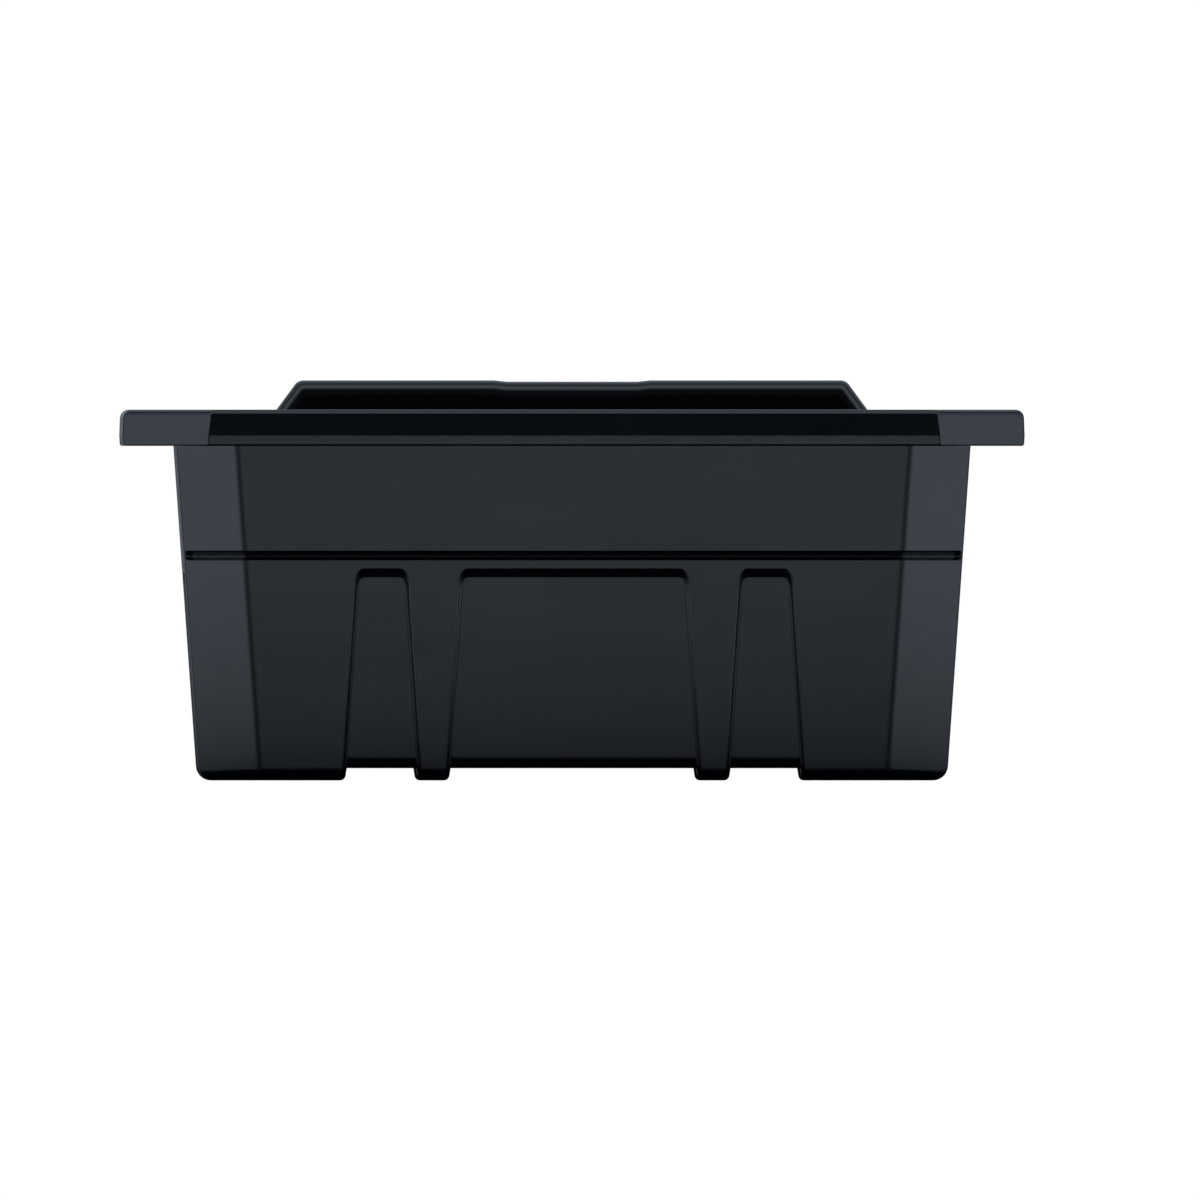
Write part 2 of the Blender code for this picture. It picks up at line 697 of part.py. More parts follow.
def main():
    for item in list(bpy.data.objects):
        bpy.data.objects.remove(item, do_unlink=True)
    make_tub_shell()
    make_carry_handle()
    cap_cutter = bearing_cutter("cap_bores")
    for side_name, side in (("left", -1), ("right", 1)):
        make_axle_pin(f"axle_pin_{side_name}", side)
        make_pivot_bush(f"pivot_bush_{side_name}", side)
        make_bearing_cap(f"bearing_cap_{side_name}", side, cap_cutter)
        for end_name, front in (("front", -1), ("rear", 1)):
            make_cap_screw(f"cap_screw_{side_name}_{end_name}", side, front)


main()
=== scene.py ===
"""Looks of the mortar mixing tub: fine meshes, materials, studio light and camera round the frame."""

import json
import math

import bmesh
import bpy
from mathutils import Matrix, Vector


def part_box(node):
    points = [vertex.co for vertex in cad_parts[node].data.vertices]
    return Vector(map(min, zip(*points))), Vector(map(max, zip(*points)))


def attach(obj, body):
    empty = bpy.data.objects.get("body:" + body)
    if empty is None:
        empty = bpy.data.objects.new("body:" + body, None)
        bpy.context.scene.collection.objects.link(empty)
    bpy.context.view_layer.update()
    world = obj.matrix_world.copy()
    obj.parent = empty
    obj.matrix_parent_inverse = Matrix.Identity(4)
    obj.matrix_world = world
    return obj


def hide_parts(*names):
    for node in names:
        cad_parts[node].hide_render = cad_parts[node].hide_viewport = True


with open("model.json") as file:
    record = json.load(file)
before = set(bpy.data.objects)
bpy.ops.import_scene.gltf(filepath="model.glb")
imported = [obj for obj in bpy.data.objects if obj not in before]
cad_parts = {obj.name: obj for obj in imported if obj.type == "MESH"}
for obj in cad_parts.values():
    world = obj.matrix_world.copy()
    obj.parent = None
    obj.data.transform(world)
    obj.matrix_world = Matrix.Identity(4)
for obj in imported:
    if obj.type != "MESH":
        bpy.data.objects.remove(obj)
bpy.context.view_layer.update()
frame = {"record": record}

# ---------------------------------------------------------------- sizes read from the frame
TUB_LOW, TUB_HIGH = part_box("tub_shell")
HANDLE_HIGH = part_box("carry_handle")[1]
CAP_LOW, CAP_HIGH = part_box("bearing_cap_right")
PIN_LOW, PIN_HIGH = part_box("axle_pin_right")
BUSH_LOW, BUSH_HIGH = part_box("pivot_bush_right")
SCREW_LOW, SCREW_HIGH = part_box("cap_screw_right_rear")
AXLE_HEIGHT = frame["record"]["behaviour"]["joints"][0]["pos_m"][2]

# ---------------------------------------------------------------- sizes of the tub
RIM_LENGTH = TUB_HIGH.x - TUB_LOW.x
RIM_WIDTH = TUB_HIGH.y - TUB_LOW.y
RIM_TOP = TUB_HIGH.z
WALL = 0.0032
OVERHANG = 0.0512
DRAFT = math.tan(math.radians(4.0))

SKIRT_BOTTOM = 0.2217
BAND_TOP = 0.2287
SKIRT_FLARE = math.tan(math.radians(2.0))
BAND_TUCK = math.tan(math.radians(3.0))

BODY_CHAMFER = 0.0400
RIM_CHAMFER = 0.0585
SKIRT_CHAMFER = 0.0560
CHAMFER_SHRINK = 2.0 - math.sqrt(2.0)
BODY_TANGENT = 0.0042
RIM_TANGENT = 0.0012
OUTER_TANGENT = 0.0013

FOOT_ROUND = 0.0100
PANEL_ROUND = 0.0090
RIM_OUTER_ROUND = 0.00575
RIM_INNER_ROUND = 0.0060
BAND_ROUND = 0.0070
SKIRT_EDGE_ROUND = 0.0016

RECESS = 0.0031
LIFT = 0.0081
PANEL_LEVEL = 0.1296
PANEL_FLARE = 0.068
PANEL_TOP_LOW = 0.1342
PANEL_TOP_HIGH = 0.1410
EDGE_WIDTH = 0.0035
FOOT_LEAN = 0.0004
CORNER_SHARE = 1.3
RAMP_ROUND = 0.22             # share of a panel's side wall that each of its edges rounds
CENTRE_EDGE = 0.0754
SMALL_INNER_EDGE = 0.1102
SMALL_OUTER_EDGE = 0.1442
SIDE_SHIFT = 0.65
TOP_SHIFT = 0.46

GROOVE_LOW = 0.1458
GROOVE_HIGH = 0.1524
GROOVE_DEPTH = 0.0030
GROOVE_BOTTOM = 0.4
GROOVE_SOFTNESS = 0.15         # rounding of its deepest line, as a share of its depth
GROOVE_END = 0.0026            # length of its rounded end

GAP = 0.0003
BOSS_FACE = 0.2465
BOSS_HALF_WIDTH = 0.0220
BOSS_ROOT = 0.1600
BOSS_CHIN = 0.1880
BORE_END = 0.2575
STOP_FACE = 0.2290
STOP_INNER = 0.0095
STOP_OUTER = 0.0170
BUSH_RADIUS = (BUSH_HIGH.z - BUSH_LOW.z) / 2
AXLE_RADIUS = (PIN_HIGH.z - PIN_LOW.z) / 2
CAP_EAR_TOP = 0.2170
CAP_ARCH = 0.0125
SCREW_X = (SCREW_LOW.x + SCREW_HIGH.x) / 2
SCREW_Y = (SCREW_LOW.y + SCREW_HIGH.y) / 2
SCREW_RADIUS = 0.0020
SCREW_HEAD_RADIUS = (SCREW_HIGH.x - SCREW_LOW.x) / 2

HANDLE_HALF_THICKNESS = 0.0140
HANDLE_ROUND = 0.0097
TIGHTEST_ROUND = 0.0004
HANDLE_TOP = HANDLE_HIGH.z
HANDLE_END = HANDLE_HIGH.x
HANDLE_UNDERSIDE = 0.2320
HANDLE_SLOPE = math.tan(math.radians(53.6))
HANDLE_RIM_HALF = 0.1959
HANDLE_INNER_HALF = 0.1720
CRANK_TOP = 0.2360
CRANK_BOTTOM = 0.2000
CRANK_INNER = 0.1970
GRIP_DIP = 0.0009
GRIP_HALF = 0.0434
GRIP_RAMP_END = 0.0516
LUG_RADIUS = 0.0120
LUG_INNER_END = 0.2140

# ---------------------------------------------------------------- mesh resolution
FOOT_STEPS = 8
RIM_STEPS = 8
BAND_STEPS = 4
CORNER_STEPS = 4
HANDLE_STEPS = 8
ROUND_SIDES = 64
EDGE_INSETS = (-1.2, -0.6, -0.5, -0.44, -0.38, -0.2, 0.0, 0.2, 0.38, 0.44, 0.5,
               0.54, 0.58, 0.62, 0.7, 0.9, 1.3, 2.2)
PANEL_TOP_ROWS = (-1.6, -0.8, -0.6, -0.4, -0.2, -0.06, 0.0, 0.06, 0.12, 0.3, 0.5, 0.7, 0.88, 0.94,
                  1.0, 1.06, 1.3)
GROOVE_ROWS = (-0.05, 0.0, 0.05, 0.15, 0.25, 0.32, 0.37, 0.4, 0.43, 0.48, 0.56, 0.7, 0.85, 0.95,
               1.0, 1.05)
# Columns before a facet's outer line, where the groove ends.
GROOVE_END_COLUMNS = (0.0036, 0.0026, 0.0018, 0.0011, 0.0006, 0.0002)
CORNER_COLUMNS = 2 * CORNER_STEPS + 2 + len(GROOVE_END_COLUMNS)
FAR = 1.0

HALF_LENGTH = RIM_LENGTH / 2 - OVERHANG
HALF_WIDTH = RIM_WIDTH / 2 - OVERHANG
FRONT_EDGES = ((CENTRE_EDGE, 1), (SMALL_INNER_EDGE, -1), (SMALL_OUTER_EDGE, 1))
END_EDGES = ((CENTRE_EDGE, 1),)


# ---------------------------------------------------------------- small helpers
def mix(first, second, share):
    return first + (second - first) * share


def smooth(value):
    value = min(max(value, 0.0), 1.0)
    return value * value * (3.0 - 2.0 * value)


def crisp(value):
    """A straight ramp from 0 to 1 with short rounds at both ends."""
    value = min(max(value, 0.0), 1.0)
    near_end = min(value, 1.0 - value)
    if near_end < RAMP_ROUND:
        rounded = near_end ** 2 / (2 * RAMP_ROUND)
    else:
        rounded = near_end - RAMP_ROUND / 2
    rounded /= 1.0 - RAMP_ROUND
    return rounded if value < 0.5 else 1.0 - rounded


def fillet(before, corner, after, radius, steps):
    """Round one corner of an outline. Only the first two coordinates set the arc's shape."""
    to_before = Vector(before[:2]) - Vector(corner[:2])
    to_after = Vector(after[:2]) - Vector(corner[:2])
    half_angle = to_before.angle(to_after) / 2
    tangent = radius / math.tan(half_angle)
    start = Vector(corner).lerp(Vector(before), tangent / to_before.length)
    end = Vector(corner).lerp(Vector(after), tangent / to_after.length)
    bisector = (to_before.normalized() + to_after.normalized()).normalized()
    centre = Vector(corner[:2]) + bisector * radius / math.sin(half_angle)
    sweep = math.pi - 2 * half_angle
    arc = []
    for step in range(steps + 1):
        share = step / steps
        first = math.sin((1 - share) * sweep) / math.sin(sweep)
        second = math.sin(share * sweep) / math.sin(sweep)
        flat = centre + (start.xy - centre) * first + (end.xy - centre) * second
        rest = start.lerp(end, share)
        arc.append(Vector((flat.x, flat.y, *rest[2:])))
    return arc


def new_object(name, builder):
    mesh = bpy.data.meshes.new(name)
    builder.to_mesh(mesh)
    builder.free()
    item = bpy.data.objects.new(name, mesh)
    bpy.context.scene.collection.objects.link(item)
    return item


def add_boolean(item, other, operation):
    step = item.modifiers.new(operation.lower(), "BOOLEAN")
    step.operation = operation
    step.object = other
    step.solver = "EXACT"


def bake(item, helpers=(), angle=30.0):
    """Apply the modifiers, remove the helper objects and shade the result."""
    bpy.context.view_layer.update()
    graph = bpy.context.evaluated_depsgraph_get()
    mesh = bpy.data.meshes.new_from_object(item.evaluated_get(graph))
    mesh.name = item.name
    item.modifiers.clear()
    item.data = mesh
    for helper in helpers:
        bpy.data.objects.remove(helper, do_unlink=True)
    mesh.shade_smooth()
    mesh.set_sharp_from_angle(angle=math.radians(angle))
    weighted = item.modifiers.new("flat_faces", "WEIGHTED_NORMAL")
    weighted.keep_sharp = True
    weighted.weight = 80
    return item


def finish_piece(item, body, node, material):
    """Give a piece its material and its place in the frame."""
    item.data.materials.clear()
    item.data.materials.append(material)
    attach(item, body)
    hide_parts(node)
    return item


def add_prism(builder, outline, place, low, high):
    """Extrude a closed outline between two levels; place turns (u, v, level) into a point."""
    loops = []
    for level in (low, high):
        loops.append([builder.verts.new(place(u, v, level)) for u, v in outline])
    count = len(outline)
    for index in range(count):
        after = (index + 1) % count
        builder.faces.new((loops[0][index], loops[0][after], loops[1][after], loops[1][index]))
    builder.faces.new(list(reversed(loops[0])))
    builder.faces.new(loops[1])


def add_turned(builder, profile, place, sides=ROUND_SIDES):
    """Turn a closed or axis-to-axis profile of (radius, height); place turns x, y, z into a point."""
    rings = []
    for radius, height in profile:
        if radius < 1e-7:
            rings.append([builder.verts.new(place(0.0, 0.0, height))] * sides)
            continue
        ring = []
        for index in range(sides):
            angle = 2 * math.pi * index / sides
            x, y = radius * math.cos(angle), radius * math.sin(angle)
            ring.append(builder.verts.new(place(x, y, height)))
        rings.append(ring)
    for low, high in zip(rings, rings[1:]):
        for index in range(sides):
            after = (index + 1) % sides
            corners = list(dict.fromkeys((low[index], low[after], high[after], high[index])))
            if len(corners) > 2:
                builder.faces.new(corners)


def tidy_normals(builder):
    bmesh.ops.recalc_face_normals(builder, faces=builder.faces)


# ---------------------------------------------------------------- tub shell
def panel_depth(inside_edge, height, offset):
    """How far a panel is sunk, 0 to 1, from the distances to its side and to its top."""
    side = inside_edge / EDGE_WIDTH
    top_width = PANEL_TOP_HIGH - PANEL_TOP_LOW
    top_middle = (PANEL_TOP_HIGH + PANEL_TOP_LOW) / 2 + TOP_SHIFT * offset
    top = (top_middle - height) / top_width
    reach = min(side, top)
    if side < CORNER_SHARE and top < CORNER_SHARE:
        reach = CORNER_SHARE - math.hypot(CORNER_SHARE - side, CORNER_SHARE - top)
    return crisp(reach + 0.5)


def foot_lift(inside_edge):
    """How far the underside is raised, 0 to 1, across a foot's rounded corner and upright side."""
    across = inside_edge + EDGE_WIDTH / 2
    if across <= 0.0:
        return 0.0
    if across <= EDGE_WIDTH:
        return (EDGE_WIDTH - math.sqrt(EDGE_WIDTH ** 2 - across ** 2)) / LIFT
    return min(mix(EDGE_WIDTH / LIFT, 1.0, (across - EDGE_WIDTH) / FOOT_LEAN), 1.0)


def groove_depth(height, from_end=FAR):
    """Depth of the V line round the tub, which closes in a half round where its run ends."""
    share = (height - GROOVE_LOW) / (GROOVE_HIGH - GROOVE_LOW)
    down = min(share / GROOVE_BOTTOM, (1.0 - share) / (1.0 - GROOVE_BOTTOM))
    if from_end < GROOVE_END:
        down = 1.0 - math.hypot(1.0 - down, 1.0 - from_end / GROOVE_END)
    if down <= 0.0:
        return 0.0
    full = math.hypot(1.0, GROOVE_SOFTNESS) - GROOVE_SOFTNESS
    return GROOVE_DEPTH * (1.0 - (math.hypot(1.0 - down, GROOVE_SOFTNESS) - GROOVE_SOFTNESS) / full)


def section_rows(offset, sunk):
    """The wall's section as rows of (growth, height, chamfer leg, corner round), floor to skirt.

    offset is 0 on the outer side of the sheet and WALL on the inner side.
    """
    push = offset + (RECESS if sunk else 0.0)
    floor = offset + (LIFT if sunk else 0.0)

    def wall(height, inward):
        growth = DRAFT * height - inward
        return (growth, height, BODY_CHAMFER - CHAMFER_SHRINK * inward, BODY_TANGENT)

    corner = wall(floor, push)
    inland = (corner[0] - 0.06, floor, corner[2] - CHAMFER_SHRINK * 0.06, BODY_TANGENT)
    radius = (PANEL_ROUND if sunk else FOOT_ROUND) - offset
    rows = fillet(inland, corner, wall(PANEL_LEVEL, push), radius, FOOT_STEPS)

    top_rise = TOP_SHIFT * offset
    panel_rows = [mix(PANEL_TOP_LOW, PANEL_TOP_HIGH, share) + top_rise for share in PANEL_TOP_ROWS]
    groove_rows = [mix(GROOVE_LOW, GROOVE_HIGH, share) for share in GROOVE_ROWS]
    rows += [Vector(wall(height, push)) for height in panel_rows]
    rows += [Vector(wall(height, offset)) for height in groove_rows]

    behind = WALL - offset
    top = RIM_TOP - behind
    skirt_growth = OVERHANG - SKIRT_FLARE * (RIM_TOP - BAND_TOP)
    inner_rim = wall(top, offset)
    outer_rim = (skirt_growth - behind, top, RIM_CHAMFER - CHAMFER_SHRINK * behind, RIM_TANGENT)
    band_chamfer = mix(RIM_CHAMFER, SKIRT_CHAMFER, 0.7) - CHAMFER_SHRINK * behind
    band = (OVERHANG - behind, BAND_TOP, band_chamfer, RIM_TANGENT)
    tuck = BAND_TUCK * (BAND_TOP - SKIRT_BOTTOM)
    edge = (OVERHANG - tuck - behind, SKIRT_BOTTOM, SKIRT_CHAMFER - CHAMFER_SHRINK * behind, RIM_TANGENT)
    rows += fillet(wall(BAND_TOP, offset), inner_rim, outer_rim, RIM_INNER_ROUND - behind, RIM_STEPS)
    rows += fillet(inner_rim, outer_rim, band, RIM_OUTER_ROUND - behind, RIM_STEPS)
    rows += fillet(outer_rim, band, edge, BAND_ROUND, BAND_STEPS)
    if behind:
        rows.append(Vector(edge))
    else:
        under = (edge[0] - WALL, SKIRT_BOTTOM, edge[2] - CHAMFER_SHRINK * WALL, RIM_TANGENT)
        rows += fillet(band, edge, under, SKIRT_EDGE_ROUND, BAND_STEPS)
    return rows


def edge_position(edge, step, height, offset):
    """Distance from the middle plane of a column that follows a panel edge."""
    if edge is None:
        return 0.0
    half_width, side = edge
    drop = PANEL_LEVEL - min(height, SKIRT_BOTTOM)
    return half_width + side * (PANEL_FLARE * drop + SIDE_SHIFT * offset) + step * EDGE_WIDTH


def wall_columns(edges):
    """Columns from the middle plane outwards: the middle, then those beside each panel edge."""
    columns = [(None, 0.0)]
    for edge in edges:
        side = edge[1]
        columns += [(edge, step) for step in sorted(-side * inset for inset in EDGE_INSETS)]
    return columns


def inside_distance(column):
    """Distance into the panel from its side edge, below zero on the plain wall."""
    edge, step = column
    if edge is None:
        return FAR
    return -edge[1] * step * EDGE_WIDTH


def corner_points(growth, chamfer, tangent):
    """The chamfered upright corner in plan: points, inward directions, distances to its outer line."""
    half_x = HALF_LENGTH + growth
    half_y = HALF_WIDTH + growth
    front = Vector((half_x - chamfer, -half_y))
    end = Vector((half_x, -(half_y - chamfer)))
    along = (end - front).normalized()
    slant = Vector((-along.y, along.x))
    groups = []
    for corner, before, after, first, second, reach in (
        (front, Vector((-1.0, 0.0)), along, Vector((0.0, 1.0)), slant, tangent),
        (end, -along, Vector((0.0, 1.0)), slant, Vector((-1.0, 0.0)), OUTER_TANGENT),
    ):
        start = corner + before * reach
        finish = corner + after * reach
        group = []
        for step in range(CORNER_STEPS + 1):
            share = step / CORNER_STEPS
            curve = start.lerp(corner, share).lerp(corner.lerp(finish, share), share)
            group.append((curve, first.lerp(second, share).normalized()))
        groups.append(group)
    front_line, outer_line = groups
    facet_end = outer_line[0][0]
    points = [(curve, inward, FAR) for curve, inward in front_line]
    points += [(facet_end - along * distance, slant, distance) for distance in GROOVE_END_COLUMNS]
    points += [(curve, inward, 0.0) for curve, inward in outer_line]
    return points


def quarter_ring(plain, sunk, offset, on_floor):
    """One row of points over a quarter of the tub, from the front's middle to the end's middle."""
    ring = []

    def add_panel_columns(columns, is_front):
        for edge, step in columns:
            inside = inside_distance((edge, step))
            share = panel_depth(inside, 0.0 if on_floor else plain[1], offset)
            growth = mix(plain[0], sunk[0], share)
            height = mix(plain[1], sunk[1], foot_lift(inside))
            across = edge_position(edge, step, height, offset)
            if is_front:
                groove = groove_depth(height)
                ring.append(Vector((across, -(HALF_WIDTH + growth) + groove, height)))
            else:
                ring.append(Vector((HALF_LENGTH + growth, -across, height)))

    add_panel_columns(wall_columns(FRONT_EDGES), True)
    for point, inward, from_end in corner_points(plain[0], plain[2], plain[3]):
        moved = point + inward * groove_depth(plain[1], from_end)
        ring.append(Vector((moved.x, moved.y, plain[1])))
    add_panel_columns(list(reversed(wall_columns(END_EDGES))), False)
    return ring


def floor_points(ring, offset):
    """Floor points inside the first ring, as a dictionary from (column, row) to a point."""
    first_corner = len(wall_columns(FRONT_EDGES))
    last_corner = first_corner + CORNER_COLUMNS - 1
    last = len(ring) - 1
    turn = last_corner - first_corner
    end_rows = last - last_corner
    start = ring[first_corner]
    finish = ring[last_corner]
    front_lift = [foot_lift(inside_distance(column)) for column in wall_columns(FRONT_EDGES)]
    end_lift = [foot_lift(inside_distance(column)) for column in wall_columns(END_EDGES)]
    points = {}
    for column in range(first_corner + turn + 1):
        rows = end_rows + turn - max(column - first_corner, 0)
        for row in range(rows + 1):
            x = ring[column].x
            y = ring[last - row].y
            if row > end_rows and column < first_corner:
                share = (y - finish.y) / (start.y - finish.y)
                y = mix(finish.y, ring[column].y, share)
            if column > first_corner and row < end_rows:
                share = (x - start.x) / (finish.x - start.x)
                x = mix(start.x, ring[last - row].x, share)
            lift = front_lift[column] if column < first_corner else 0.0
            if row < len(end_lift):
                lift = max(lift, end_lift[row])
            points[column, row] = Vector((x, y, offset + LIFT * lift))
    return points


def add_sheet(builder, offset, flip):
    """Add one side of the moulded sheet and return its last row of vertices."""
    plain_rows = section_rows(offset, False)
    sunk_rows = section_rows(offset, True)
    rings = []
    for index, (plain, sunk) in enumerate(zip(plain_rows, sunk_rows)):
        points = quarter_ring(plain, sunk, offset, index <= FOOT_STEPS)
        rings.append([builder.verts.new(point) for point in points])

    def add_face(corners):
        unique = list(dict.fromkeys(corners))
        builder.faces.new(list(reversed(unique)) if flip else unique)

    for low, high in zip(rings, rings[1:]):
        for index in range(len(low) - 1):
            add_face((low[index], low[index + 1], high[index + 1], high[index]))

    ring = [vertex.co.copy() for vertex in rings[0]]
    first_corner = len(wall_columns(FRONT_EDGES))
    last = len(ring) - 1
    top_row = last - first_corner
    last_column = first_corner + CORNER_COLUMNS - 1
    grid = {}
    for (column, row), point in floor_points(ring, offset).items():
        if column <= first_corner and row == top_row:
            grid[column, row] = rings[0][column]
        elif column >= first_corner and row == last - column:
            grid[column, row] = rings[0][column]
        elif column == last_column:
            grid[column, row] = rings[0][last - row]
        else:
            grid[column, row] = builder.verts.new(point)
    for column, row in grid:
        around = [(column, row), (column + 1, row), (column + 1, row + 1), (column, row + 1)]
        corners = [grid[key] for key in around if key in grid]
        if len(corners) >= 3 and (column + 1, row) in grid and (column, row + 1) in grid:
            add_face(corners)
    return rings[-1]


def saddle_tool():
    """Solid saddles for the bearings, one on each end wall."""
    def middle_of_wall(height):
        return HALF_LENGTH + DRAFT * height - WALL / 2

    top = AXLE_HEIGHT - GAP / 2
    corbel = [
        (BOSS_FACE, top), (middle_of_wall(top), top),
        (middle_of_wall(BOSS_ROOT), BOSS_ROOT), (BOSS_FACE, BOSS_CHIN),
    ]
    builder = bmesh.new()
    for side in (-1, 1):
        def place(x, z, y, side=side):
            return (side * x, y, z)
        add_prism(builder, corbel, place, -BOSS_HALF_WIDTH, BOSS_HALF_WIDTH)
    tidy_normals(builder)
    return new_object("saddle_tool", builder)


def stop_ledge_tool():
    """Two ledges on each saddle, in front of and behind the handle's axis."""
    rest = AXLE_HEIGHT - HANDLE_HALF_THICKNESS - GAP
    root = BOSS_FACE + 0.001
    ledge = [(STOP_FACE, rest), (root, rest), (root, BOSS_CHIN), (STOP_FACE, rest - 0.005)]
    builder = bmesh.new()
    for side in (-1, 1):
        def place(x, z, y, side=side):
            return (side * x, y, z)
        add_prism(builder, ledge, place, STOP_INNER, STOP_OUTER)
        add_prism(builder, ledge, place, -STOP_OUTER, -STOP_INNER)
    tidy_normals(builder)
    return new_object("stop_ledge_tool", builder)


def bearing_cutter():
    """Bores for the two bushes, and holes for the four cap screws."""
    builder = bmesh.new()
    for side in (-1, 1):
        def along_axle(x, y, z, side=side):
            return (side * z, x, AXLE_HEIGHT + y)
        radius = BUSH_RADIUS + GAP
        bore = [(0.0, BOSS_FACE - 0.002), (radius, BOSS_FACE - 0.002), (radius, BORE_END), (0.0, BORE_END)]
        add_turned(builder, bore, along_axle)
        for front in (-1, 1):
            def upright(x, y, z, side=side, front=front):
                return (side * SCREW_X + x, front * SCREW_Y + y, z)
            hole = SCREW_RADIUS + GAP
            low = SCREW_LOW.z - 0.001
            high = CAP_EAR_TOP + 0.002
            add_turned(builder, [(0.0, low), (hole, low), (hole, high), (0.0, high)], upright, 32)
    tidy_normals(builder)
    return new_object("bearing_cutter", builder)


def make_tub(material):
    builder = bmesh.new()
    outer_edge = add_sheet(builder, 0.0, False)
    inner_edge = add_sheet(builder, WALL, True)
    for index in range(len(outer_edge) - 1):
        builder.faces.new(
            (outer_edge[index], outer_edge[index + 1], inner_edge[index + 1], inner_edge[index])
        )
    tub = new_object("tub_moulding", builder)
    halves = tub.modifiers.new("mirror_quarters", "MIRROR")
    halves.use_axis[0] = True
    halves.use_axis[1] = True
    halves.merge_threshold = 0.00001
    saddles, ledges, cutter = saddle_tool(), stop_ledge_tool(), bearing_cutter()
    add_boolean(tub, saddles, "UNION")
    add_boolean(tub, ledges, "UNION")
    add_boolean(tub, cutter, "DIFFERENCE")
    bake(tub, (saddles, ledges, cutter))
    return finish_piece(tub, "tub", "tub_shell", material)


# ---------------------------------------------------------------- carry handle
def handle_corners():
    """Corners of the handle's outline as (x, z, radius), from the middle of the top, clockwise."""
    def slope_x(height):
        return HANDLE_RIM_HALF - (height - RIM_TOP) / HANDLE_SLOPE

    right = [
        (GRIP_HALF, HANDLE_TOP - GRIP_DIP, 0.0),
        (GRIP_RAMP_END, HANDLE_TOP, 0.0),
        (slope_x(HANDLE_TOP), HANDLE_TOP, 0.0070),
        (slope_x(CRANK_TOP), CRANK_TOP, 0.0080),
        (HANDLE_END, CRANK_TOP, 0.0072),
        (HANDLE_END, CRANK_BOTTOM, 0.0072),
        (CRANK_INNER, CRANK_BOTTOM, 0.0090),
        (HANDLE_INNER_HALF, HANDLE_UNDERSIDE, 0.0120),
    ]
    return right + [(-x, z, radius) for x, z, radius in reversed(right)]


def handle_outline(inset):
    """The handle's outline moved inwards, with tighter outer and wider inner rounds."""
    corners = handle_corners()
    count = len(corners)
    moved = []
    outward = []
    for index, corner in enumerate(corners):
        here = Vector(corner[:2])
        before = (here - Vector(corners[index - 1][:2])).normalized()
        after = (Vector(corners[(index + 1) % count][:2]) - here).normalized()
        first = Vector((before.y, -before.x))
        mitre = (first + Vector((after.y, -after.x))).normalized()
        moved.append(here + mitre * inset / mitre.dot(first))
        outward.append(before.cross(after) < 0)
    outline = []
    for index, (x, z, radius) in enumerate(corners):
        if not radius:
            outline.append(moved[index])
            continue
        turned = max(radius - inset, TIGHTEST_ROUND) if outward[index] else radius + inset
        outline += fillet(moved[index - 1], moved[index], moved[(index + 1) % count], turned, HANDLE_STEPS)
    return outline


def make_handle(material):
    builder = bmesh.new()
    sections = []
    for step in range(2 * HANDLE_STEPS + 1):
        turn = math.pi / 2 * step / HANDLE_STEPS
        depth = -HANDLE_HALF_THICKNESS * math.cos(turn)
        outline = handle_outline(HANDLE_ROUND * (1 - math.sin(turn)))
        sections.append([builder.verts.new((point.x, depth, point.y)) for point in outline])
    count = len(sections[0])
    for first, second in zip(sections, sections[1:]):
        for index in range(count):
            after = (index + 1) % count
            builder.faces.new((first[index], first[after], second[after], second[index]))
    builder.faces.new(sections[0])
    builder.faces.new(sections[-1])
    tidy_normals(builder)
    handle = new_object("handle_bar", builder)

    lugs = bmesh.new()
    bores = bmesh.new()
    for side in (-1, 1):
        def along_axle(x, y, z, side=side):
            return (side * z, x, AXLE_HEIGHT + y)
        nose = 0.0008
        lug = [
            (0.0, LUG_INNER_END), (LUG_RADIUS, LUG_INNER_END), (LUG_RADIUS, HANDLE_END - nose),
            (LUG_RADIUS - nose, HANDLE_END), (0.0, HANDLE_END),
        ]
        bore_radius = AXLE_RADIUS + GAP
        bore_start = PIN_LOW.x - GAP
        bore = [
            (0.0, bore_start), (bore_radius, bore_start),
            (bore_radius, HANDLE_END + 0.002), (0.0, HANDLE_END + 0.002),
        ]
        add_turned(lugs, lug, along_axle)
        add_turned(bores, bore, along_axle)
    tidy_normals(lugs)
    tidy_normals(bores)
    lug_tool = new_object("lug_tool", lugs)
    bore_tool = new_object("bore_tool", bores)
    add_boolean(handle, lug_tool, "UNION")
    add_boolean(handle, bore_tool, "DIFFERENCE")
    bake(handle, (lug_tool, bore_tool))
    return finish_piece(handle, "handle", "carry_handle", material)


# ---------------------------------------------------------------- bearing pieces
def make_pin(name, side):
    """Ground steel pin with turned chamfers."""
    nose = 0.0006
    ends = (PIN_LOW.x, PIN_HIGH.x)
    profile = [
        (0.0, ends[0]), (AXLE_RADIUS - nose, ends[0]), (AXLE_RADIUS, ends[0] + nose),
        (AXLE_RADIUS, ends[1] - nose), (AXLE_RADIUS - nose, ends[1]), (0.0, ends[1]),
    ]
    builder = bmesh.new()

    def along_axle(x, y, z):
        return (side * z, x, AXLE_HEIGHT + y)

    add_turned(builder, profile, along_axle)
    tidy_normals(builder)
    return bake(new_object(f"pin_{name}", builder))


